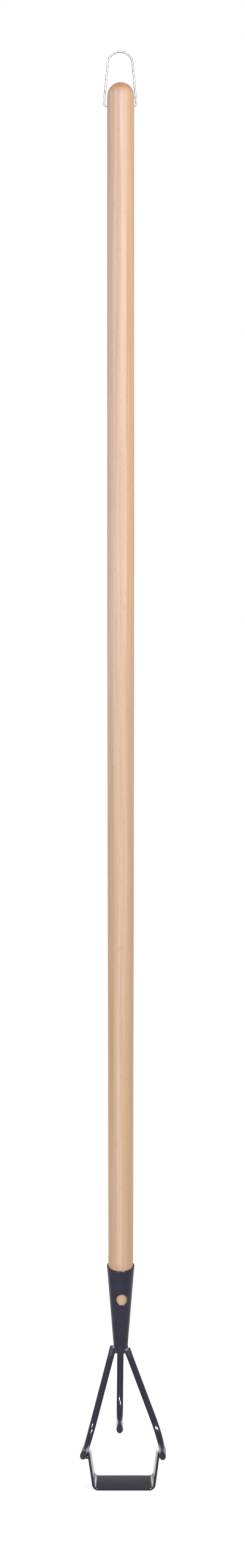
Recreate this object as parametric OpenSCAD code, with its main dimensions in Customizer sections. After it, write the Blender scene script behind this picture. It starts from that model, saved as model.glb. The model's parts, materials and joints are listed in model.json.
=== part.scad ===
/* [Shaft] */
// Diameter of the wooden shaft over its upper two thirds
shaft_d = 28.2; // [22:0.5:34]
// Height of the shaft's domed top above the blade
shaft_top = 1449.5; // [700:0.5:1800]
// Height at which the shaft begins to taper
taper_start = 860; // [500:5:1100]
// Diameter of the shaft at the middle of its taper
taper_mid_d = 26.8; // [20:0.1:33]
// Height of the middle of the taper
taper_mid = 400; // [260:5:480]
// Gap between the shaft's conical end and the socket all round
seat_gap = 0.12; // [0.05:0.01:0.4]

/* [Hanging loop] */
// Diameter of the loop's wire
wire_d = 1.8; // [1.5:0.1:4]
// Depth of the cross hole below the top of the shaft
hanger_drop = 24; // [16:0.5:60]
// Gap between the wire and the cross hole all round
wire_gap = 0.25; // [0.05:0.05:0.6]
// Distance from the cross hole to the middle of the wire at the crown
loop_reach = 56.3; // [45:0.1:120]
// How much smaller than the shaft's the radius of the crown is, at the middle of the wire
crown_inset = 1.2; // [0:0.1:6]
// Angle by which each leg leans outward on its way down
leg_splay = 5.4; // [3:0.1:12]
// Radius of the hooked ends at the middle of the wire
hook_r = 2.8; // [2:0.1:6]
// Length of each wire end inside the shaft
wire_grip = 9; // [4:0.5:12]
// Sideways shift of the loose loop in its hole
loop_shift = -0.6; // [-0.7:0.1:0.7]

/* [Socket] */
// Height of the socket's rim at its sides
rim_z = 221.6; // [190:0.1:260]
// Height of the socket's lower end
socket_end = 139.5; // [115:0.1:170]
// Outer diameter of the socket at the rim
rim_d = 28.8; // [24:0.1:36]
// Outer diameter of the socket at its lower end
end_d = 15.1; // [13:0.1:20]
// Thickness of the rolled sheet
sheet = 1.6; // [1:0.1:2.5]
// Angle by which the rim slopes down to the front
rim_slant = 12.5; // [0:0.5:25]
// Depth of the shaft's lower end above the socket's lower end
seat_floor = 12; // [10:0.5:30]
// Width of the rolled joint at the back
seam_w = 1.2; // [0.6:0.1:2.5]
// Height left open above the seam's weld
seam_open = 18; // [8:1:30]
// Diameter of the round hole in the front
hole_d = 11.4; // [6:0.1:14]
// Distance from the rim down to the middle of the round hole
hole_drop = 33; // [24:0.1:42]
// Sideways place of the round hole
hole_x = 1.1; // [-2:0.1:2]

/* [Fixing screw] */
// Diameter of the screw's shank
screw_d = 3.8; // [3:0.1:5]
// Diameter of the screw's head
screw_head_d = 7.6; // [6:0.1:10]
// Height of the screw's head
screw_head_h = 2.4; // [1.5:0.1:4]
// Length of the shank under the head
screw_l = 13; // [9:0.5:18]
// Distance from the rim down to the screw
screw_drop = 25.6; // [18:0.1:40]
// Angle of the screw round the socket, from the right towards the back
screw_turn = 55; // [30:1:75]
// Gap between the screw's shank and its holes all round
screw_gap = 0.05; // [0.02:0.01:0.3]

/* [Tines] */
// Diameter of the round rods
rod_d = 6.8; // [5:0.1:9]
// Radius of the forward bend at the middle of the rod
bend_r = 27; // [18:0.5:36]
// Length of the straight tip in front of the bend
tip_l = 13; // [8:0.5:25]
// Angle of the slanting cut at the tip
tip_cut = 35; // [0:1:45]
// Height at which the centre tine starts to bend
centre_bend_z = 91; // [75:0.5:100]
// Sideways distance from each side of the blade in to the start of the outer tine's bend
tine_inset = 1.2; // [-2:0.1:4]
// Sideways place of the left tine at the socket's lower end
left_root = 7.1; // [5:0.1:9]
// Sideways place of the right tine at the socket's lower end
right_root = 4.9; // [3:0.1:9]
// Outward turn of the left tine's tip
left_toe = 6.3; // [0:0.1:12]
// Inward turn of the right tine's tip
right_toe = 1.2; // [0:0.1:6]
// Sideways place of the centre tine at the start of its bend
centre_x = -0.7; // [-3:0.1:3]
// Sideways lean of the centre tine
centre_lean = 0.6; // [-3:0.1:3]
// Height of the centre tine inside the socket
centre_inset = 8; // [4:0.5:9]
// Least drop from the socket's lower end to the upper ends of the outer tines
outer_drop = 2.2; // [1:0.1:5]
// Gap between the upper end of an outer tine and the centre tine
tine_gap = 0.3; // [0.1:0.1:2]

/* [Tine weld] */
// Depth of the weld below the socket's lower end
weld_h = 9.6; // [7:0.1:14]
// Thickness of the weld round the centre tine at its lower end
weld_wall = 1; // [0.4:0.1:3]
// Thickness of the webs between the tines, from front to back
web_t = 5.6; // [3:0.1:6.4]
// Width of the rounded crotch between two tines
crotch_d = 2.8; // [2:0.1:5]

/* [Blade] */
// Width of the strip from front to back
blade_depth = 27; // [18:0.5:40]
// Thickness of the strip
blade_t = 2.2; // [1.5:0.1:4]
// Outer width of the stirrup at its foot
blade_w = 63.6; // [50:0.1:80]
// Sideways place of the middle of the blade
blade_x = 3.35; // [-6:0.05:8]
// Distance from the shaft's axis forward to the middle of the blade
blade_forward = 10; // [4:0.5:16]
// Distance from the shaft's axis forward to the middle of the weld beads on the arms
bead_forward = 23; // [12:0.5:26]
// Angle by which the blade's front edge is lowered
blade_tilt = 9.5; // [0:0.1:20]
// Outward lean of the left arm
left_arm_splay = 7.9; // [4:0.1:14]
// Outward lean of the right arm
right_arm_splay = 7; // [4:0.1:14]
// Outer radius of the two lower corners
corner_r = 7; // [4:0.1:12]
// Height of the arms' front corners above the blade's underside
arm_h = 42.5; // [34:0.5:60]
// Angle by which the arms' tops fall towards the back
arm_slant = 24; // [0:1:40]
// Height of the arms' front corners above the lowest point of the tines' bends
arm_reach = 7.3; // [4:0.1:10]
// Radius of the weld beads between the arms and the tines
bead_r = 2.1; // [1.2:0.1:3]
// Length of those weld beads
bead_l = 9; // [4:0.5:14]

/* [Hidden] */
$fn = 96;
far = 200;
lap = 0.002;
cut = 1;
wood = [0.90, 0.76, 0.62];
steel = [0.78, 0.79, 0.80];
paint = [0.24, 0.235, 0.28];
shaft_r = shaft_d / 2;
rod_r = rod_d / 2;
pivot_z = shaft_top - hanger_drop;
crown_r = shaft_r - crown_inset;
crown_z = loop_reach - crown_r;
leg_l = (crown_z - hook_r + (crown_r - hook_r) * sin(leg_splay)) / cos(leg_splay);
hook_x = (crown_r - hook_r) * cos(leg_splay) + leg_l * sin(leg_splay);
end_l = hook_x - shaft_r + wire_grip;
socket_taper = (rim_d - end_d) / 2 / (rim_z - socket_end);
socket_lean = atan(socket_taper);
rim_rise = rim_d / 2 * tan(rim_slant) + cut;
seat_bottom = socket_end + seat_floor;
seat_top = rim_z + rim_rise;
hole_z = rim_z - hole_drop;
screw_z = rim_z - screw_drop;
head_dome_r = 0.8 * screw_head_d;
outer_bend_z = arm_h - arm_reach + bend_r;
left_bend_x = blade_x - blade_w / 2 + tine_inset;
right_bend_x = blade_x + blade_w / 2 - tine_inset;
left_splay = atan((-left_bend_x - left_root) / (socket_end - outer_bend_z));
right_splay = atan((right_bend_x - right_root) / (socket_end - outer_bend_z));
centre_root = centre_x + (socket_end - centre_bend_z) * tan(centre_lean);
left_clear = rod_r * (1 + cos(left_splay)) + tine_gap - centre_root - left_root;
right_clear = rod_r * (1 + cos(right_splay)) + tine_gap + centre_root - right_root;
left_drop = max(outer_drop, left_clear / tan(left_splay));
right_drop = max(outer_drop, right_clear / tan(right_splay));
left_l = (socket_end - left_drop - outer_bend_z) / cos(left_splay);
right_l = (socket_end - right_drop - outer_bend_z) / cos(right_splay);
centre_l = (socket_end + centre_inset - centre_bend_z) / cos(centre_lean);
bead_out = 0.7 * bead_r;
shoulder = rod_r / 2;
bead_turn = acos(1 - bead_forward / bend_r);
bead_below = 1.2 * rod_r;

function outer_r(z) = end_d / 2 + (z - socket_end) * socket_taper;
function inner_r(z) = outer_r(z) - sheet / cos(socket_lean);

// Round bar from the origin up along Z
module bar(d, length) {
    cylinder(d = d, h = length);
}

// Quarter turn of a tine's rod: starts at the origin going down, ends going towards -Y
module forward_bend() {
    translate([0, -bend_r, 0])
        rotate([-90, 0, 90])
            rotate_extrude(angle = 90)
                translate([bend_r, 0])
                    circle(d = rod_d);
}

// Solid cone frustum of revolution with radius bottom_r at z0 and top_r at z1
module frustum(z0, bottom_r, z1, top_r) {
    translate([0, 0, z0])
        cylinder(r1 = bottom_r, r2 = top_r, h = z1 - z0);
}

// Whole tine: a straight bar above the bend, the bend and the slanting tip
module tine_bar(length) {
    difference() {
        union() {
            bar(rod_d, length);
            forward_bend();
            at_tip()
                bar(rod_d, tip_l);
        }
        at_tip()
            translate([-rod_d, -rod_r, tip_l])
                rotate([-tip_cut, 0, 0])
                    translate([0, -rod_d, 0])
                        cube([2 * rod_d, 4 * rod_d, rod_d]);
    }
}

// Places its children at the front end of the bend, with +Z pointing along the tip
module at_tip() {
    translate([0, -bend_r, -bend_r])
        rotate([90, 0, 0])
            children();
}

module at_left() {
    translate([left_bend_x, 0, outer_bend_z])
        rotate([0, left_splay, 0])
            rotate([0, 0, -left_toe])
                children();
}

module at_right() {
    translate([right_bend_x, 0, outer_bend_z])
        rotate([0, -right_splay, 0])
            rotate([0, 0, -right_toe])
                children();
}

module at_centre() {
    translate([centre_x, 0, centre_bend_z])
        rotate([0, centre_lean, 0])
            children();
}

// Places its children on the screw's axis, square to the socket's wall, with +Z pointing outward
module at_screw() {
    rotate([0, 0, screw_turn])
        translate([outer_r(screw_z), 0, screw_z])
            rotate([0, 90 + socket_lean, 0])
                children();
}

module handle() {
    color(wood)
        difference() {
            union() {
                rotate_extrude()
                    polygon([
                        [0, seat_bottom],
                        [inner_r(seat_bottom) - seat_gap, seat_bottom],
                        [inner_r(seat_top) - seat_gap, seat_top],
                        [taper_mid_d / 2, taper_mid],
                        [shaft_r, taper_start],
                        [shaft_r, shaft_top - shaft_r],
                        [0, shaft_top - shaft_r]
                    ]);
                translate([0, 0, shaft_top - shaft_r])
                    sphere(r = shaft_r);
            }
            translate([-shaft_d, 0, pivot_z])
                rotate([0, 90, 0])
                    bar(wire_d + 2 * wire_gap, 2 * shaft_d);
            at_screw()
                translate([0, 0, -screw_l - screw_gap])
                    bar(screw_d + 2 * screw_gap, screw_l + screw_gap);
        }
}

// Right leg, hook and end of the hanging loop, with the cross hole's axis at the origin
module loop_leg() {
    translate([0, 0, crown_z])
        rotate([0, -leg_splay, 0])
            translate([crown_r, 0, 0]) {
                translate([0, 0, -leg_l])
                    bar(wire_d, leg_l + lap);
                translate([-hook_r, 0, -leg_l]) {
                    rotate([-90, 0, 0])
                        rotate_extrude(angle = 90 + leg_splay)
                            translate([hook_r, 0])
                                circle(d = wire_d);
                    rotate([0, 90 + leg_splay, 0])
                        translate([hook_r, 0, -end_l])
                            bar(wire_d, end_l + lap);
                }
            }
}

module hanger_loop() {
    color(steel)
        translate([loop_shift, 0, pivot_z]) {
            translate([0, 0, crown_z])
                rotate([90, 0, 0])
                    rotate([0, 0, leg_splay])
                        rotate_extrude(angle = 180 - 2 * leg_splay)
                            translate([crown_r, 0])
                                circle(d = wire_d);
            loop_leg();
            mirror([1, 0, 0])
                loop_leg();
        }
}

// Rolled cone with its slanting rim
module rolled_cone() {
    difference() {
        frustum(socket_end, outer_r(socket_end), seat_top, outer_r(seat_top));
        frustum(socket_end - cut, inner_r(socket_end - cut), seat_top + cut, inner_r(seat_top + cut));
        translate([0, 0, rim_z])
            rotate([rim_slant, 0, 0])
                translate([-far / 2, -far / 2, 0])
                    cube([far, far, far]);
    }
}

module socket() {
    color(paint)
        difference() {
            rolled_cone();
            translate([-seam_w / 2, 0, socket_end - cut])
                cube([seam_w, rim_d, far]);
            translate([hole_x, 0, hole_z])
                rotate([90, 0, 0])
                    bar(hole_d, rim_d);
            at_screw()
                translate([0, 0, -2 * sheet])
                    bar(screw_d + 2 * screw_gap, 3 * sheet);
        }
}

// Bead that closes the rolled joint up to an open stretch below the rim
module socket_seam() {
    color(paint)
        difference() {
            intersection() {
                translate([-seam_w / 2, 0, socket_end])
                    cube([seam_w, rim_d, rim_z - socket_end - seam_open]);
                frustum(socket_end, outer_r(socket_end), rim_z, outer_r(rim_z));
            }
            frustum(socket_end - cut, inner_r(socket_end - cut), rim_z, inner_r(rim_z));
        }
}

// Round-headed screw with a cross recess
module socket_screw() {
    recess_w = screw_head_d / 6;
    recess_l = screw_head_d / 2;
    color(steel)
        at_screw() {
            translate([0, 0, -screw_l])
                bar(screw_d, screw_l);
            difference() {
                intersection() {
                    bar(screw_head_d, screw_head_h);
                    translate([0, 0, screw_head_h - head_dome_r])
                        sphere(r = head_dome_r);
                }
                for (turn = [0, 90])
                    rotate([0, 0, turn])
                        translate([-recess_l / 2, -recess_w / 2, screw_head_h / 2])
                            cube([recess_l, recess_w, screw_head_h]);
            }
        }
}

module tine_left() {
    color(paint)
        at_left()
            tine_bar(left_l);
}

module tine_centre() {
    color(paint)
        at_centre()
            tine_bar(centre_l);
}

module tine_right() {
    color(paint)
        at_right()
            tine_bar(right_l);
}

// Outline of the webs between the tines and of the shoulders over the outer tines' upper ends
module web_outline() {
    web_bottom = socket_end - weld_h;
    left_foot = left_root + weld_h * tan(left_splay);
    right_foot = right_root + weld_h * tan(right_splay);
    centre_foot = centre_root - weld_h * tan(centre_lean);
    left_top = left_root + left_drop * tan(left_splay) + shoulder * cos(left_splay);
    right_top = right_root + right_drop * tan(right_splay) + shoulder * cos(right_splay);
    difference() {
        polygon([
            [-end_d / 2, socket_end],
            [end_d / 2, socket_end],
            [right_top, socket_end - right_drop - shoulder * sin(right_splay)],
            [right_foot, web_bottom],
            [-left_foot, web_bottom],
            [-left_top, socket_end - left_drop - shoulder * sin(left_splay)]
        ]);
        translate([(centre_foot - left_foot) / 2, web_bottom])
            circle(d = crotch_d);
        translate([(centre_foot + right_foot) / 2, web_bottom])
            circle(d = crotch_d);
    }
}

// Weld that closes the socket's lower end and joins the three tines to it
module tine_weld() {
    plug_top = socket_end + centre_inset;
    color(paint)
        difference() {
            union() {
                rotate([90, 0, 0])
                    translate([0, 0, -web_t / 2])
                        linear_extrude(height = web_t)
                            web_outline();
                frustum(socket_end - weld_h, rod_r + weld_wall, socket_end, outer_r(socket_end));
                frustum(socket_end - lap, inner_r(socket_end), plug_top, inner_r(plug_top));
            }
            at_left()
                bar(rod_d, left_l);
            at_right()
                bar(rod_d, right_l);
            at_centre()
                bar(rod_d, centre_l);
        }
}

// Outline of the stirrup up to a height, seen from the front, moved in all round by inset
module stirrup_outline(inset, top) {
    half = blade_w / 2;
    corner = corner_r - inset;
    left_up = -half - top * tan(left_arm_splay) + inset / cos(left_arm_splay);
    right_up = half + top * tan(right_arm_splay) - inset / cos(right_arm_splay);
    left_low = -half - corner_r * tan(left_arm_splay) + corner_r / cos(left_arm_splay);
    right_low = half + corner_r * tan(right_arm_splay) - corner_r / cos(right_arm_splay);
    polygon([
        [left_low, inset],
        [right_low, inset],
        [right_low + corner * cos(right_arm_splay), corner_r - corner * sin(right_arm_splay)],
        [right_up, top],
        [left_up, top],
        [left_low - corner * cos(left_arm_splay), corner_r - corner * sin(left_arm_splay)]
    ]);
    translate([left_low, corner_r])
        circle(r = corner);
    translate([right_low, corner_r])
        circle(r = corner);
}

// Places its children in the blade's own frame: underside through the origin, front edge lowered
module at_blade() {
    translate([blade_x, 0, 0])
        rotate([blade_tilt, 0, 0])
            children();
}

// Bent strip with its arms' tops cut on a slant that falls towards the back
module blade_strip() {
    back = blade_depth / 2 - blade_forward;
    at_blade()
        difference() {
            translate([0, back, 0])
                rotate([90, 0, 0])
                    linear_extrude(height = blade_depth)
                        difference() {
                            stirrup_outline(0, arm_h);
                            stirrup_outline(blade_t, arm_h + cut);
                        }
            translate([-far / 2, back - blade_depth, arm_h])
                rotate([-arm_slant, 0, 0])
                    translate([0, -blade_depth, 0])
                        cube([far, far, far]);
        }
}

module blade() {
    color(paint)
        difference() {
            blade_strip();
            at_left()
                tine_bar(left_l);
            at_right()
                tine_bar(right_l);
        }
}

// Rounded bead from front to back along the corner between an arm's outer face and its tine
module bead(x, z) {
    translate([x, -bead_forward - bead_l / 2, z]) {
        rotate([-90, 0, 0])
            bar(2 * bead_r, bead_l);
        sphere(r = bead_r);
        translate([0, bead_l, 0])
            sphere(r = bead_r);
    }
}

module blade_weld_left() {
    z = outer_bend_z - bend_r * sin(bead_turn) * cos(left_splay) - bead_below;
    x = blade_x - blade_w / 2 - z * tan(left_arm_splay) - bead_out;
    color(paint)
        difference() {
            bead(x, z);
            at_left()
                tine_bar(left_l);
            blade_strip();
        }
}

module blade_weld_right() {
    z = outer_bend_z - bend_r * sin(bead_turn) * cos(right_splay) - bead_below;
    x = blade_x + blade_w / 2 + z * tan(right_arm_splay) + bead_out;
    color(paint)
        difference() {
            bead(x, z);
            at_right()
                tine_bar(right_l);
            blade_strip();
        }
}

handle();
hanger_loop();
socket();
socket_seam();
socket_screw();
tine_left();
tine_centre();
tine_right();
tine_weld();
blade();
blade_weld_left();
blade_weld_right();
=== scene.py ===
import json
import math

import bpy
from mathutils import Matrix, Vector, noise


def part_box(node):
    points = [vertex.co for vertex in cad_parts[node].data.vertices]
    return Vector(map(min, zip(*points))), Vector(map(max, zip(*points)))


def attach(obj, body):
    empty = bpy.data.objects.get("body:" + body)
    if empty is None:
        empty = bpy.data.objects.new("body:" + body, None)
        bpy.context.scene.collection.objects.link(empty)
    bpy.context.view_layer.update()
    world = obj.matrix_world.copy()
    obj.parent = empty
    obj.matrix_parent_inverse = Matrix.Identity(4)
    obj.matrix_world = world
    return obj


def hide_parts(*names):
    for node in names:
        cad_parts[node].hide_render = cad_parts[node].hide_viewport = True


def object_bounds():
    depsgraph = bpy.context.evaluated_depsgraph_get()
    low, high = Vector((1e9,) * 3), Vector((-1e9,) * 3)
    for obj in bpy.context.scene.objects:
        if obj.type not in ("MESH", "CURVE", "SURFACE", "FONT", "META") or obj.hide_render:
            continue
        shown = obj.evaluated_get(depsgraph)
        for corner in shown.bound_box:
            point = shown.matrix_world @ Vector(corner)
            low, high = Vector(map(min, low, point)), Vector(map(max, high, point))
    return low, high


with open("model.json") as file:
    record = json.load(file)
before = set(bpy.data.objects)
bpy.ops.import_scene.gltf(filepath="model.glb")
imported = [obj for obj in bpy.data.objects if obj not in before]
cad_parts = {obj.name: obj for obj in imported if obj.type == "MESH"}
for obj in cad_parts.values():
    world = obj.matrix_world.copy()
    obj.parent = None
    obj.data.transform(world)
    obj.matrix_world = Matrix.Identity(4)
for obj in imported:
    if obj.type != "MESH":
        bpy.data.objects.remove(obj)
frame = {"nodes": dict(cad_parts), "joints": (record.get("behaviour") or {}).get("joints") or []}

# A long garden hoe: beech shaft, painted steel socket, three tines, a stirrup blade and a wire loop.
# Everything is in metres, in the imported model's frame: +Z up the shaft, -Y the way the tines point.

CAD_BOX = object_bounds()
MM = 0.001
X_AXIS = Vector((1, 0, 0))
Y_AXIS = Vector((0, 1, 0))
Z_AXIS = Vector((0, 0, 1))


# ---------------------------------------------------------------- sizes shared with the CAD parts

HANDLE_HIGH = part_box("handle")[1]
SHAFT_TOP = HANDLE_HIGH.z
SHAFT_R = HANDLE_HIGH.x
SOCKET_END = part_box("socket")[0].z
PIVOT_Z = frame["joints"][0]["pos_m"][2]

ROD_R = 3.4 * MM
BEND_R = 27 * MM
TIP_L = 13 * MM
TIP_CUT = math.radians(35)
CENTRE_BEND_Z = 91 * MM
OUTER_BEND_Z = 62.2 * MM
LEFT_BEND_X = -27.25 * MM
RIGHT_BEND_X = 33.95 * MM
CENTRE_X = -0.7 * MM
LEFT_ROOT = 7.1 * MM
RIGHT_ROOT = 4.9 * MM
LEFT_TOE = math.radians(6.3)
RIGHT_TOE = math.radians(1.2)
CENTRE_LEAN = math.radians(0.6)
LEFT_DROP = 2.2 * MM
RIGHT_DROP = 4.7 * MM
CENTRE_INSET = 8 * MM
LEFT_SPLAY = math.atan((-LEFT_BEND_X - LEFT_ROOT) / (SOCKET_END - OUTER_BEND_Z))
RIGHT_SPLAY = math.atan((RIGHT_BEND_X - RIGHT_ROOT) / (SOCKET_END - OUTER_BEND_Z))

RIM_Z = 221.6 * MM
RIM_R = 14.4 * MM
END_R = 7.55 * MM
SHEET = 1.6 * MM
RIM_SLANT = math.radians(12.5)
SEAM_W = 1.2 * MM
HOLE_R = 5.7 * MM
HOLE_X = 1.1 * MM
HOLE_Z = 188.6 * MM

BLADE_DEPTH = 27 * MM
BLADE_T = 2.2 * MM
BLADE_W = 63.6 * MM
BLADE_X = 3.35 * MM
BLADE_FORWARD = 10 * MM
BLADE_TILT = math.radians(9.5)
LEFT_ARM_SPLAY = math.radians(7.9)
RIGHT_ARM_SPLAY = math.radians(7)
CORNER_R = 7 * MM
ARM_H = 42.5 * MM
ARM_SLANT = math.radians(24)
BEAD_FORWARD = 23 * MM
BEAD_R = 2.1 * MM
BEAD_L = 9 * MM

WIRE_R = 0.9 * MM
CROWN_R = 12.9 * MM
LOOP_REACH = 56.3 * MM
LEG_SPLAY = math.radians(5.4)
HOOK_R = 2.8 * MM
WIRE_GRIP = 9 * MM
LOOP_SHIFT = -0.6 * MM


# ---------------------------------------------------------------- mesh helpers

def srgb(red, green, blue):
    """An 8-bit screen colour as the linear colour that shaders take."""
    def linear(value):
        c = value / 255
        return c / 12.92 if c <= 0.04045 else ((c + 0.055) / 1.055) ** 2.4
    return (linear(red), linear(green), linear(blue), 1)


def arc(centre, radius, start, end, across, up, steps):
    """Points from angle start to angle end round centre, in the plane of across and up."""
    points = []
    for i in range(steps + 1):
        a = start + (end - start) * i / steps
        points.append(centre + radius * (math.cos(a) * across + math.sin(a) * up))
    return points


def stretch(start, end, step):
    """Evenly spaced points on a straight line, both ends included."""
    count = max(1, round((end - start).length / step))
    return [start.lerp(end, i / count) for i in range(count + 1)]


def spaced(start, end, count):
    """Evenly spaced values in count steps, both ends included."""
    return [start + (end - start) * i / count for i in range(count + 1)]


def joined(*runs):
    """Runs of points or values as one list, each meeting one kept once."""
    path = list(runs[0])
    for run in runs[1:]:
        path += run[1:]
    return path


def tangents(path):
    """Unit directions along a path, averaged at its inner points."""
    found = []
    for i in range(len(path)):
        low = path[max(0, i - 1)]
        high = path[min(len(path) - 1, i + 1)]
        found.append((high - low).normalized())
    return found


def ring(centre, across, up, radius, sides):
    points = []
    for k in range(sides):
        a = 2 * math.pi * k / sides
        points.append(centre + radius * (math.cos(a) * across + math.sin(a) * up))
    return points


def skin(rings):
    """Closed surface over rings of equal length, with a fan over each end."""
    sides = len(rings[0])
    verts = [p for r in rings for p in r]
    faces = []
    for i in range(len(rings) - 1):
        for k in range(sides):
            a = i * sides + k
            b = i * sides + (k + 1) % sides
            faces.append((a, b, b + sides, a + sides))
    for at, flip in ((0, True), (len(rings) - 1, False)):
        centre = len(verts)
        verts.append(sum(rings[at], Vector()) / sides)
        for k in range(sides):
            a = at * sides + k
            b = at * sides + (k + 1) % sides
            faces.append((b, a, centre) if flip else (a, b, centre))
    return verts, faces


def round_bar(path, normal, radius, sides=40, chamfer=0.12 * MM):
    """Round bar along a flat path whose plane has that normal, with slightly broken end edges."""
    rings = []
    along = tangents(path)
    last = len(path) - 1
    for i, centre in enumerate(path):
        up = normal.cross(along[i])
        if i == 0:
            rings.append(ring(centre, normal, up, radius - chamfer, sides))
            centre = centre + along[i] * chamfer
        if i == last:
            rings.append(ring(centre - along[i] * chamfer, normal, up, radius, sides))
            rings.append(ring(centre, normal, up, radius - chamfer, sides))
        else:
            rings.append(ring(centre, normal, up, radius, sides))
    return skin(rings)


def moved(shell, matrix):
    return [matrix @ v for v in shell[0]], shell[1]


def merged(shells):
    verts = []
    faces = []
    for shell_verts, shell_faces in shells:
        start = len(verts)
        verts += shell_verts
        faces += [tuple(i + start for i in f) for f in shell_faces]
    return verts, faces


def piece(name, shell, material, body, stands_for=(), sharp=35):
    """New smooth-shaded object from a shell, riding on a body and standing for CAD nodes."""
    mesh = bpy.data.meshes.new(name)
    mesh.from_pydata(shell[0], [], shell[1])
    mesh.validate()
    made = bpy.data.objects.new(name, mesh)
    bpy.context.scene.collection.objects.link(made)
    finish_piece(made, material, body, stands_for, sharp)
    return made


def finish_piece(made, material, body, stands_for, sharp):
    made.data.shade_smooth()
    made.data.set_sharp_from_angle(angle=math.radians(sharp))
    made.data.materials.clear()
    made.data.materials.append(material)
    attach(made, body)
    if stands_for:
        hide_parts(*stands_for)


def fused(name, shells, voxel, passes, material, body, stands_for=(), ripple=0.0):
    """Overlapping closed shells merged to one skin whose inner corners are softened to fillets."""
    verts, faces = merged(shells)
    mesh = bpy.data.meshes.new(name)
    mesh.from_pydata(verts, [], faces)
    made = bpy.data.objects.new(name, mesh)
    bpy.context.scene.collection.objects.link(made)
    merge = made.modifiers.new("merge", "REMESH")
    merge.mode = "VOXEL"
    merge.voxel_size = voxel
    soften = made.modifiers.new("soften", "SMOOTH")
    soften.factor = 0.5
    soften.iterations = passes
    deps = bpy.context.evaluated_depsgraph_get()
    made.data = bpy.data.meshes.new_from_object(made.evaluated_get(deps))
    made.modifiers.clear()
    if ripple:
        for vertex in made.data.vertices:
            wave = noise.noise(vertex.co / (2.2 * MM))
            vertex.co += vertex.normal * ripple * wave
    finish_piece(made, material, body, stands_for, 60)
    return made


# ---------------------------------------------------------------- materials

def shader(name):
    """New node material: the material, its node tree and its Principled shader."""
    material = bpy.data.materials.new(name)
    material.use_nodes = True
    tree = material.node_tree
    return material, tree, tree.nodes["Principled BSDF"]


def stretched_coordinates(tree, scale):
    """The object's own coordinates, scaled along each axis."""
    place = tree.nodes.new("ShaderNodeTexCoord")
    mapping = tree.nodes.new("ShaderNodeMapping")
    mapping.inputs["Scale"].default_value = scale
    tree.links.new(place.outputs["Object"], mapping.inputs["Vector"])
    return mapping.outputs["Vector"]


def noise_texture(tree, vector, scale, detail=3.0, roughness=0.5):
    """Seedless cloud noise from 0 to 1 at the given coordinates."""
    node = tree.nodes.new("ShaderNodeTexNoise")
    node.inputs["Scale"].default_value = scale
    node.inputs["Detail"].default_value = detail
    node.inputs["Roughness"].default_value = roughness
    tree.links.new(vector, node.inputs["Vector"])
    return node.outputs["Fac"]


def ramp(tree, value, stops):
    """Colour ramp over (position, colour) stops."""
    node = tree.nodes.new("ShaderNodeValToRGB")
    elements = node.color_ramp.elements
    while len(elements) < len(stops):
        elements.new(0.5)
    for element, (position, colour) in zip(elements, stops):
        element.position = position
        element.color = colour
    tree.links.new(value, node.inputs["Fac"])
    return node.outputs["Color"]


def remap(tree, value, low, high, to_low, to_high):
    """A value's range from low to high turned into another range, and held at its ends."""
    node = tree.nodes.new("ShaderNodeMapRange")
    node.inputs["From Min"].default_value = low
    node.inputs["From Max"].default_value = high
    node.inputs["To Min"].default_value = to_low
    node.inputs["To Max"].default_value = to_high
    tree.links.new(value, node.inputs["Value"])
    return node.outputs["Result"]


def mixed(tree, blend, amount, first, second):
    """Two colours blended; amount is a number or a socket."""
    node = tree.nodes.new("ShaderNodeMix")
    node.data_type = "RGBA"
    node.blend_type = blend
    if isinstance(amount, (int, float)):
        node.inputs[0].default_value = amount
    else:
        tree.links.new(amount, node.inputs[0])
    for socket, value in ((node.inputs[6], first), (node.inputs[7], second)):
        if isinstance(value, tuple):
            socket.default_value = value
        else:
            tree.links.new(value, socket)
    return node.outputs[2]


def product(tree, first, second):
    """Two values multiplied."""
    node = tree.nodes.new("ShaderNodeMath")
    node.operation = "MULTIPLY"
    tree.links.new(first, node.inputs[0])
    tree.links.new(second, node.inputs[1])
    return node.outputs[0]


def bump(tree, principled, height, strength, distance):
    """Lets a value from 0 to 1 raise the shaded surface by up to distance."""
    node = tree.nodes.new("ShaderNodeBump")
    node.inputs["Strength"].default_value = strength
    node.inputs["Distance"].default_value = distance
    tree.links.new(height, node.inputs["Height"])
    tree.links.new(node.outputs["Normal"], principled.inputs["Normal"])


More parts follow.
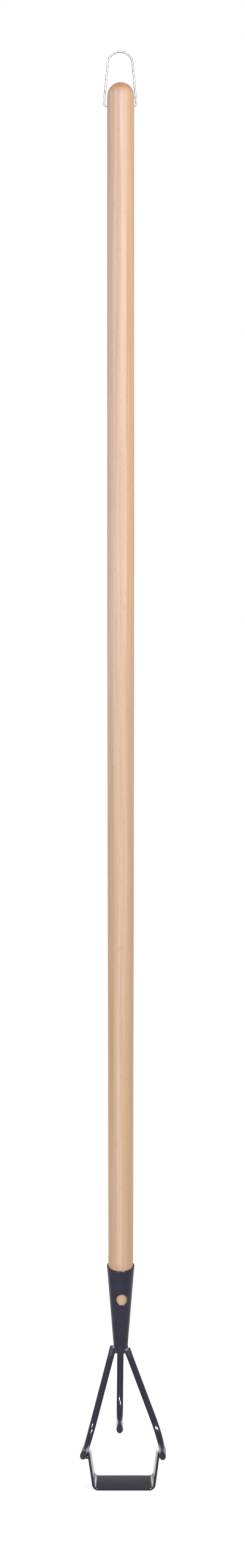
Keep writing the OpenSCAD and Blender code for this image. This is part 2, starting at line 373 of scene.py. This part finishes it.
def beech():
    """Pale beech: long soft grain, a few faint flecks, an orange strip on the right, a darker dome."""
    material, tree, principled = shader("beech")
    bands = noise_texture(tree, stretched_coordinates(tree, (1, 1, 0.012)), 150, 3, 0.5)
    colour = ramp(tree, bands, [
        (0.30, srgb(224, 190, 168)),
        (0.50, srgb(236, 207, 187)),
        (0.75, srgb(229, 197, 173)),
    ])
    streaks = noise_texture(tree, stretched_coordinates(tree, (1, 1, 0.010)), 520, 3, 0.6)
    streak_colour = ramp(tree, streaks, [(0.36, srgb(232, 216, 204)), (0.60, (1, 1, 1, 1))])
    colour = mixed(tree, "MULTIPLY", 0.45, colour, streak_colour)
    flecks = noise_texture(tree, stretched_coordinates(tree, (1, 1, 0.10)), 1300, 2, 0.5)
    fleck_colour = ramp(tree, flecks, [(0.28, srgb(190, 154, 126)), (0.37, (1, 1, 1, 1))])
    colour = mixed(tree, "MULTIPLY", 0.35, colour, fleck_colour)
    spot = tree.nodes.new("ShaderNodeSeparateXYZ")
    tree.links.new(stretched_coordinates(tree, (1, 1, 1)), spot.inputs["Vector"])
    across = spot.outputs["X"]
    height = spot.outputs["Z"]
    strip_edge = 6 * MM
    fade_low = 0.45
    fade_high = 0.95
    strip = product(tree, remap(tree, across, strip_edge, strip_edge + 0.8 * MM, 0, 1),
                    remap(tree, height, fade_low, fade_high, 0.5, 1))
    colour = mixed(tree, "MULTIPLY", strip, colour, srgb(254, 238, 216))
    lower_part = remap(tree, height, fade_high, fade_low, 0, 1)
    colour = mixed(tree, "MULTIPLY", lower_part, colour, srgb(238, 229, 212))
    dome = remap(tree, height, SHAFT_TOP - SHAFT_R, SHAFT_TOP - 0.4 * SHAFT_R, 0, 1)
    colour = mixed(tree, "MULTIPLY", dome, colour, srgb(240, 203, 180))
    tree.links.new(colour, principled.inputs["Base Color"])
    tree.links.new(remap(tree, streaks, 0.3, 0.7, 0.46, 0.38), principled.inputs["Roughness"])
    principled.inputs["Specular IOR Level"].default_value = 0.16
    bump(tree, principled, flecks, 0.08, 0.1 * MM)
    return material


def enamel(name, roughness, ripple):
    """Blue-black satin enamel with a faint orange-peel surface."""
    material, tree, principled = shader(name)
    vector = stretched_coordinates(tree, (1, 1, 1))
    clouds = noise_texture(tree, vector, 90, 3)
    colour = ramp(tree, clouds, [(0.3, srgb(47, 46, 61)), (0.7, srgb(53, 52, 68))])
    tree.links.new(colour, principled.inputs["Base Color"])
    principled.inputs["IOR"].default_value = 1.24
    tree.links.new(remap(tree, clouds, 0.3, 0.7, roughness * 0.88, roughness * 1.12),
                   principled.inputs["Roughness"])
    peel = noise_texture(tree, vector, 700, 2)
    bump(tree, principled, peel, ripple, 0.05 * MM)
    return material


def zinc(name, tone, edge_tone, roughness):
    """Zinc-coated steel, greyer where it turns away, with a fine drawn finish."""
    material, tree, principled = shader(name)
    principled.inputs["Metallic"].default_value = 1.0
    principled.inputs["Specular Tint"].default_value = srgb(edge_tone, edge_tone, edge_tone)
    spangle = noise_texture(tree, stretched_coordinates(tree, (1, 1, 1)), 700, 3)
    colour = ramp(tree, spangle, [
        (0.3, srgb(tone - 12, tone - 11, tone - 9)),
        (0.7, srgb(tone, tone, tone + 2)),
    ])
    tree.links.new(colour, principled.inputs["Base Color"])
    tree.links.new(remap(tree, spangle, 0.3, 0.7, roughness * 0.85, roughness * 1.2),
                   principled.inputs["Roughness"])
    bump(tree, principled, spangle, 0.06, 0.03 * MM)
    return material


BEECH = beech()
ENAMEL = enamel("black_enamel", 0.17, 0.04)
WELD_ENAMEL = enamel("weld_enamel", 0.36, 0.10)
WIRE_ZINC = zinc("galvanised_wire", 150, 90, 0.26)
SCREW_ZINC = zinc("zinc_screw", 205, 150, 0.34)


# ---------------------------------------------------------------- tines

def tine_shell(length):
    """A tine in its own frame: straight down to the origin, a quarter turn to -Y and a slanted tip."""
    sides = 48
    straight = stretch(Vector((0, 0, length)), Vector(), 4 * MM)
    bend = arc(Vector((0, -BEND_R, 0)), BEND_R, 0, -math.pi / 2, Y_AXIS, Z_AXIS, 32)
    path = joined(straight, bend)
    rings = []
    for centre, along in zip(path[:-1], tangents(path)):
        rings.append(ring(centre, X_AXIS, X_AXIS.cross(along), ROD_R, sides))
    tip_start = path[-1]
    rings.append(ring(tip_start, X_AXIS, Z_AXIS * -1, ROD_R, sides))
    chamfer = 0.25 * MM
    for inset, back in ((0.0, chamfer), (chamfer, 0.0), (ROD_R * 0.5, 0.0)):
        points = []
        for k in range(sides):
            a = 2 * math.pi * k / sides
            radius = ROD_R - inset
            rise = -radius * math.sin(a)
            reach = TIP_L - back - math.tan(TIP_CUT) * (rise + ROD_R)
            points.append(tip_start + Vector((radius * math.cos(a), -reach, rise)))
        rings.append(points)
    return skin(rings)


def left_frame():
    return (Matrix.Translation((LEFT_BEND_X, 0, OUTER_BEND_Z))
            @ Matrix.Rotation(LEFT_SPLAY, 4, "Y") @ Matrix.Rotation(-LEFT_TOE, 4, "Z"))


def right_frame():
    return (Matrix.Translation((RIGHT_BEND_X, 0, OUTER_BEND_Z))
            @ Matrix.Rotation(-RIGHT_SPLAY, 4, "Y") @ Matrix.Rotation(-RIGHT_TOE, 4, "Z"))


def centre_frame():
    return (Matrix.Translation((CENTRE_X, 0, CENTRE_BEND_Z))
            @ Matrix.Rotation(CENTRE_LEAN, 4, "Y"))


def outer_length(drop, splay):
    return (SOCKET_END - drop - OUTER_BEND_Z) / math.cos(splay)


TINES = {
    "tine_left": (left_frame(), outer_length(LEFT_DROP, LEFT_SPLAY)),
    "tine_centre": (centre_frame(), (SOCKET_END + CENTRE_INSET - CENTRE_BEND_Z) / math.cos(CENTRE_LEAN)),
    "tine_right": (right_frame(), outer_length(RIGHT_DROP, RIGHT_SPLAY)),
}
for node_name, (place, length) in TINES.items():
    piece(node_name + "_rod", moved(tine_shell(length), place), ENAMEL, "tool",
          [node_name])


# ---------------------------------------------------------------- socket

SOCKET_TAPER = (RIM_R - END_R) / (RIM_Z - SOCKET_END)
WALL = SHEET * math.sqrt(1 + SOCKET_TAPER ** 2)
EDGE = 0.4 * MM
FINE_REACH = 8 * MM
RIM_ROOM = 5 * MM


def cone_r(z):
    """The socket's outer radius at a height."""
    return END_R + (z - SOCKET_END) * SOCKET_TAPER


def rim_height(forward, depth):
    """Height of the slanting rim where the wall, that deep in, faces forward by -1 to 1."""
    slope = -forward * math.tan(RIM_SLANT)
    return (RIM_Z + slope * (cone_r(0) - depth)) / (1 - slope * SOCKET_TAPER)


def wall_profile(turn):
    """Closed outline of the socket's wall at a turn from the front: outside up, rim, inside down."""
    forward = math.cos(turn)
    fine_low = HOLE_Z - FINE_REACH
    fine_high = HOLE_Z + FINE_REACH
    rows = joined(spaced(SOCKET_END, fine_low, 10), spaced(fine_low, fine_high, 48),
                  spaced(fine_high, RIM_Z - RIM_ROOM, 8))
    outside = [(0, z) for z in rows]
    inside = [(WALL, z) for z in reversed(rows)]
    rim = []
    for depth, drop in ((0, EDGE), (0.3 * EDGE, 0.3 * EDGE), (EDGE, 0), (WALL - EDGE, 0),
                        (WALL - 0.3 * EDGE, 0.3 * EDGE), (WALL, EDGE)):
        rim.append((depth, rim_height(forward, depth) - drop))
    points = []
    for depth, z in outside + rim + inside:
        radius = cone_r(z) - depth
        x = radius * math.sin(turn)
        y = -radius * forward
        if y > 0 and abs(x) < SEAM_W / 2:
            x = math.copysign(SEAM_W / 2, x)
            y = math.sqrt(radius ** 2 - x ** 2)
        points.append(Vector((x, y, z)))
    return points


def pierced(shell):
    """Opens the round hole: cells inside it go, and corners left on its border move onto its edge."""
    verts, faces = shell

    def from_hole(point):
        return math.hypot(point.x - HOLE_X, point.z - HOLE_Z) if point.y < 0 else 1.0

    border_r = HOLE_R + EDGE
    kept = []
    opened = set()
    for face in faces:
        middle = sum((verts[i] for i in face), Vector()) / len(face)
        if from_hole(middle) > border_r:
            kept.append(face)
        else:
            opened.update(face)
    border = opened & {i for face in kept for i in face}
    for i in border:
        point = verts[i]
        depth = cone_r(point.z) - math.hypot(point.x, point.y)
        scale = border_r / from_hole(point)
        x = HOLE_X + (point.x - HOLE_X) * scale
        z = HOLE_Z + (point.z - HOLE_Z) * scale
        verts[i] = Vector((x, -math.sqrt((cone_r(z) - depth) ** 2 - x ** 2), z))
    return verts, kept


def hole_lining():
    """Rounded edge and wall of the hole, from the outer face of the sheet to its inner face."""
    sides = 96
    verts = []
    faces = []
    steps = ((EDGE, 0), (0.3 * EDGE, 0.3 * EDGE), (0, EDGE), (0, WALL))
    for widening, depth in steps:
        for k in range(sides):
            a = 2 * math.pi * k / sides
            x = HOLE_X + (HOLE_R + widening) * math.cos(a)
            z = HOLE_Z + (HOLE_R + widening) * math.sin(a)
            verts.append(Vector((x, -math.sqrt((cone_r(z) - depth) ** 2 - x ** 2), z)))
    for i in range(len(steps) - 1):
        for k in range(sides):
            a = i * sides + k
            b = i * sides + (k + 1) % sides
            faces.append((a, b, b + sides, a + sides))
    return verts, faces


def socket_turns():
    """Turns from the back round the front to the back again, closer together near the hole."""
    fine = math.radians(45)
    back = spaced(fine, math.radians(177), 44)
    return joined([-turn for turn in reversed(back)], spaced(-fine, fine, 72), back)


socket_wall = pierced(skin([wall_profile(turn) for turn in socket_turns()]))
piece("socket_wall", merged([socket_wall, hole_lining()]), ENAMEL, "tool", ["socket"], 50)


# ---------------------------------------------------------------- weld at the socket's lower end

def cone_shell(low_z, low_r, high_z, high_r, sides=64):
    """Closed cone frustum on the shaft's axis."""
    return skin([
        ring(Vector((0, 0, low_z)), X_AXIS, Y_AXIS, low_r, sides),
        ring(Vector((0, 0, high_z)), X_AXIS, Y_AXIS, high_r, sides),
    ])


def stub(place, start, end, start_r, end_r):
    """Short tapered bar along a tine's own Z axis, between two heights in its frame."""
    rings = [ring(Vector((0, 0, start)), X_AXIS, Y_AXIS, start_r, 40),
             ring(Vector((0, 0, end)), X_AXIS, Y_AXIS, end_r, 40)]
    return moved(skin(rings), place)


def slab(corners, thickness):
    """Flat plate in the XZ plane through the given corners, centred on y = 0."""
    rings = []
    for y in (-thickness / 2, thickness / 2):
        rings.append([Vector((x, y, z)) for x, z in corners])
    return skin(rings)


WEB_H = 8.6 * MM
WEB_T = 5.6 * MM
WELD_H = 10.2 * MM
WELD_RISE = 3.5 * MM
STUB_L = 17 * MM
SKIM = 0.2 * MM
FADE = 0.12 * MM
web_foot = SOCKET_END - WEB_H
left_at_foot = -LEFT_ROOT - WEB_H * math.tan(LEFT_SPLAY)
right_at_foot = RIGHT_ROOT + WEB_H * math.tan(RIGHT_SPLAY)
centre_top = SOCKET_END - CENTRE_BEND_Z
weld_shells = [
    cone_shell(SOCKET_END - WELD_H, ROD_R - FADE, SOCKET_END + WELD_RISE, END_R + 2 * SKIM),
    slab([(-END_R, SOCKET_END), (END_R, SOCKET_END), (right_at_foot, web_foot),
          (left_at_foot, web_foot)], WEB_T),
    stub(centre_frame(), centre_top - STUB_L, centre_top, ROD_R - FADE, ROD_R + SKIM),
]
for place, length in (TINES["tine_left"], TINES["tine_right"]):
    weld_shells.append(stub(place, length - STUB_L, length + 0.3 * MM, ROD_R - FADE, ROD_R + SKIM))
fused("tine_weld_bead", weld_shells, 0.35 * MM, 12, WELD_ENAMEL, "tool",
      ["tine_weld"], 0.02 * MM)


# ---------------------------------------------------------------- stirrup blade

TOP_FLAT = 0.7 * MM
FRONT_ROUNDING = 1.6 * MM
STRIP_EDGE = 0.35 * MM


def blade_frame():
    return Matrix.Translation((BLADE_X, 0, 0)) @ Matrix.Rotation(BLADE_TILT, 4, "X")


def stirrup_path():
    """Middle line of the strip, from the left arm's top round the foot to the right arm's top."""
    half = BLADE_W / 2
    middle_r = CORNER_R - BLADE_T / 2
    runs = []
    for side, splay in ((-1, LEFT_ARM_SPLAY), (1, RIGHT_ARM_SPLAY)):
        corner_x = side * (half + CORNER_R * math.tan(splay) - CORNER_R / math.cos(splay))
        corner = Vector((corner_x, 0, CORNER_R))
        outward = X_AXIS * side
        start = corner + middle_r * (math.cos(splay) * outward - math.sin(splay) * Z_AXIS)
        top_rise = ARM_H - TOP_FLAT - start.z
        top = start + Vector((side * top_rise * math.tan(splay), 0, top_rise))
        turn = arc(corner, middle_r, -splay, -math.pi / 2, outward, Z_AXIS, 14)
        runs.append(joined(stretch(top, start, 0.5 * MM), turn))
    left, right = runs
    foot = stretch(left[-1], right[-1], 4 * MM)
    return joined(left, foot, list(reversed(right)))


def strip_section(depth, thickness, edge):
    """Outline of the strip's cross-section as (across the thickness, along the depth) pairs."""
    outline = []
    for sign_t, sign_d, start in ((1, 1, 0), (-1, 1, 1), (-1, -1, 2), (1, -1, 3)):
        centre_t = sign_t * (thickness / 2 - edge)
        centre_d = sign_d * (depth / 2 - edge)
        for k in range(4):
            a = math.pi / 2 * (start + k / 3)
            outline.append((centre_t + edge * math.cos(a), centre_d + edge * math.sin(a)))
    return outline


def blade_shell():
    """The strip with its arms' tops cut on a slant that falls to the back, front corners rounded."""
    path = stirrup_path()
    front = -BLADE_FORWARD - BLADE_DEPTH / 2
    rings = []
    for centre, along in zip(path, tangents(path)):
        below_top = ARM_H - centre.z
        low = front
        if below_top < FRONT_ROUNDING:
            low += FRONT_ROUNDING - math.sqrt(FRONT_ROUNDING ** 2 - (FRONT_ROUNDING - below_top) ** 2)
        high = min(front + BLADE_DEPTH, front + below_top / math.tan(ARM_SLANT))
        outward = Y_AXIS.cross(along)
        points = []
        for across, back in strip_section(high - low, BLADE_T, STRIP_EDGE):
            points.append(centre + outward * across + Y_AXIS * ((low + high) / 2 + back))
        rings.append(points)
    return skin(rings)


piece("stirrup_blade", moved(blade_shell(), blade_frame()), ENAMEL, "tool", ["blade"], 40)


# ---------------------------------------------------------------- welds between arms and tines

def bead_shells(side):
    """Shells of one arm's weld: the bead itself and a thin sleeve that fades out along the tine."""
    place = left_frame() if side < 0 else right_frame()
    rod_splay = LEFT_SPLAY if side < 0 else RIGHT_SPLAY
    arm_splay = LEFT_ARM_SPLAY if side < 0 else RIGHT_ARM_SPLAY
    turn = math.acos(1 - BEAD_FORWARD / BEND_R)
    z = OUTER_BEND_Z - BEND_R * math.sin(turn) * math.cos(rod_splay) - 1.2 * ROD_R
    x = BLADE_X + side * (BLADE_W / 2 + z * math.tan(arm_splay) + 0.7 * BEAD_R)
    low = Vector((x, -BEAD_FORWARD - BEAD_L / 2 - BEAD_R, z))
    high = Vector((x, -BEAD_FORWARD + BEAD_L / 2 + BEAD_R, z))
    rings = []
    steps = 16
    fullest = 1.12 * BEAD_R
    tip_r = 0.05 * MM
    for s in spaced(0, 1, steps):
        radius = fullest * math.sqrt(1 - (2 * s - 1) ** 4) + tip_r
        rings.append(ring(low.lerp(high, s), X_AXIS, Z_AXIS * -1, radius, 24))
    half_reach = math.radians(22)
    sleeve_path = arc(Vector((0, -BEND_R, 0)), BEND_R, half_reach - turn, -half_reach - turn,
                      Y_AXIS, Z_AXIS, steps)
    thickness = [ROD_R - FADE + (SKIM + FADE) * math.sin(math.pi * s) for s in spaced(0, 1, steps)]
    sleeve = moved(skin([ring(p, X_AXIS, X_AXIS.cross(d), r, 32)
                         for p, d, r in zip(sleeve_path, tangents(sleeve_path), thickness)]), place)
    return [skin(rings), sleeve]


for side, name in ((-1, "blade_weld_left"), (1, "blade_weld_right")):
    fused(name + "_bead", bead_shells(side), 0.3 * MM, 8, WELD_ENAMEL, "tool",
          [name], 0.08 * MM)


# ---------------------------------------------------------------- hanging loop

def loop_half(side):
    """Points from the crown's top down one leg, round its hook and into the cross hole."""
    crown_z = LOOP_REACH - CROWN_R
    leg = (crown_z - HOOK_R + (CROWN_R - HOOK_R) * math.sin(LEG_SPLAY)) / math.cos(LEG_SPLAY)
    outward = X_AXIS * side
    radial = math.cos(LEG_SPLAY) * outward + math.sin(LEG_SPLAY) * Z_AXIS
    down = math.sin(LEG_SPLAY) * outward - math.cos(LEG_SPLAY) * Z_AXIS
    crown = arc(Vector((0, 0, crown_z)), CROWN_R, math.pi / 2, LEG_SPLAY, outward, Z_AXIS, 20)
    leg_end = crown[-1] + down * leg
    hook_centre = leg_end - radial * HOOK_R
    hook = arc(hook_centre, HOOK_R, LEG_SPLAY, -math.pi / 2, outward, Z_AXIS, 12)
    end = Vector((side * (SHAFT_R - WIRE_GRIP), 0, 0))
    return joined(crown, stretch(crown[-1], leg_end, 4 * MM), hook, [hook[-1], end])


right_half = loop_half(1)
left_half = loop_half(-1)
loop_path = joined(list(reversed(left_half)), right_half)
loop = moved(round_bar(loop_path, Y_AXIS, WIRE_R, 24), Matrix.Translation((LOOP_SHIFT, 0, PIVOT_Z)))
piece("hanging_loop_wire", loop, WIRE_ZINC, "hanger", ["hanger_loop"])


# ---------------------------------------------------------------- CAD nodes that stay

for name, material in (("handle", BEECH), ("socket_seam", WELD_ENAMEL), ("socket_screw", SCREW_ZINC)):
    node = frame["nodes"][name]
    node.data.materials.clear()
    node.data.materials.append(material)


# ---------------------------------------------------------------- studio

def soft_lamp(name, place, aim, size, power, spread=180, reflected_only=False):
    """Area lamp that lights and is reflected, or is only reflected; the camera doesn't see it."""
    data = bpy.data.lights.new(name, "AREA")
    data.shape = "RECTANGLE"
    data.size, data.size_y = size
    data.energy = power
    data.spread = math.radians(spread)
    lamp = bpy.data.objects.new(name, data)
    lamp.location = place
    lamp.rotation_euler = (Vector(aim) - Vector(place)).to_track_quat("-Z", "Y").to_euler()
    lamp.visible_camera = False
    lamp.visible_diffuse = not reflected_only
    bpy.context.scene.collection.objects.link(lamp)


def seen_directly(tree):
    """1 for camera, glossy and transmission rays, else 0."""
    path = tree.nodes.new("ShaderNodeLightPath")
    total = path.outputs["Is Camera Ray"]
    for other in ("Is Glossy Ray", "Is Transmission Ray"):
        add = tree.nodes.new("ShaderNodeMath")
        add.operation = "ADD"
        add.use_clamp = True
        tree.links.new(total, add.inputs[0])
        tree.links.new(path.outputs[other], add.inputs[1])
        total = add.outputs[0]
    return total


def studio_world():
    world = bpy.data.worlds.new("studio")
    world.use_nodes = True
    tree = world.node_tree
    light = tree.nodes["Background"]
    light.inputs["Color"].default_value = (1, 1, 1, 1)
    light.inputs["Strength"].default_value = 0.55
    white = tree.nodes.new("ShaderNodeBackground")
    white.inputs["Color"].default_value = (1, 1, 1, 1)
    white.inputs["Strength"].default_value = 1.0
    blend = tree.nodes.new("ShaderNodeMixShader")
    tree.links.new(seen_directly(tree), blend.inputs[0])
    tree.links.new(light.outputs[0], blend.inputs[1])
    tree.links.new(white.outputs[0], blend.inputs[2])
    tree.links.new(blend.outputs[0], tree.nodes["World Output"].inputs["Surface"])
    bpy.context.scene.world = world


def floor_material():
    """White floor that shows pure white in the open and keeps the object's shadow."""
    material, tree, principled = shader("studio_floor")
    principled.inputs["Base Color"].default_value = (0.8, 0.8, 0.8, 1)
    principled.inputs["Roughness"].default_value = 0.9
    principled.inputs["Specular IOR Level"].default_value = 0.0
    principled.inputs["Emission Color"].default_value = (1, 1, 1, 1)
    glow = remap(tree, seen_directly(tree), 0, 1, 0, 0.62)
    tree.links.new(glow, principled.inputs["Emission Strength"])
    return material


def studio_floor():
    mesh = bpy.data.meshes.new("studio_floor")
    reach = 20.0
    z = CAD_BOX[0][2]
    mesh.from_pydata([(-reach, -reach, z), (reach, -reach, z), (reach, reach, z), (-reach, reach, z)],
                     [], [(0, 1, 2, 3)])
    floor = bpy.data.objects.new("studio_floor", mesh)
    bpy.context.scene.collection.objects.link(floor)
    mesh.materials.append(floor_material())


def camera():
    """Level camera two metres in front of the shaft, at the height of the tool's middle."""
    data = bpy.data.cameras.new("camera")
    data.sensor_width = 36
    distance = 2.0
    view_height = 1.62816
    data.lens = 36 * distance / view_height
    data.clip_start = 0.05
    made = bpy.data.objects.new("camera", data)
    made.location = (1.9 * MM, -distance, 721.5 * MM)
    made.rotation_euler = (math.pi / 2, 0, 0)
    bpy.context.scene.collection.objects.link(made)
    bpy.context.scene.camera = made


camera()
studio_world()
studio_floor()
HEAD = (0, -0.02, 0.06)
soft_lamp("lamp_left", (-0.85, -2.1, 0.60), (0, 0, 0.4), (0.45, 0.45), 11)
soft_lamp("lamp_right", (1.15, -1.6, 1.75), (0, 0, 1.0), (0.45, 0.45), 16)
soft_lamp("softbox_left", (-0.85, -2.1, 0.66), HEAD, (0.50, 0.30), 10, 26, True)
soft_lamp("softbox_right", (0.80, -2.0, 1.35), HEAD, (0.50, 0.30), 10, 26, True)
soft_lamp("softbox_top", (0.10, -2.0, 2.00), (0, 0, 1.42), (0.40, 0.35), 2.2, 40, True)
soft_lamp("panel_left", (-0.60, 0.80, 0.22), HEAD, (0.75, 0.45), 0.4, 40, True)
soft_lamp("panel_right", (0.60, 0.80, 0.22), HEAD, (0.75, 0.45), 0.4, 40, True)
bpy.context.scene.view_settings.view_transform = "Standard"
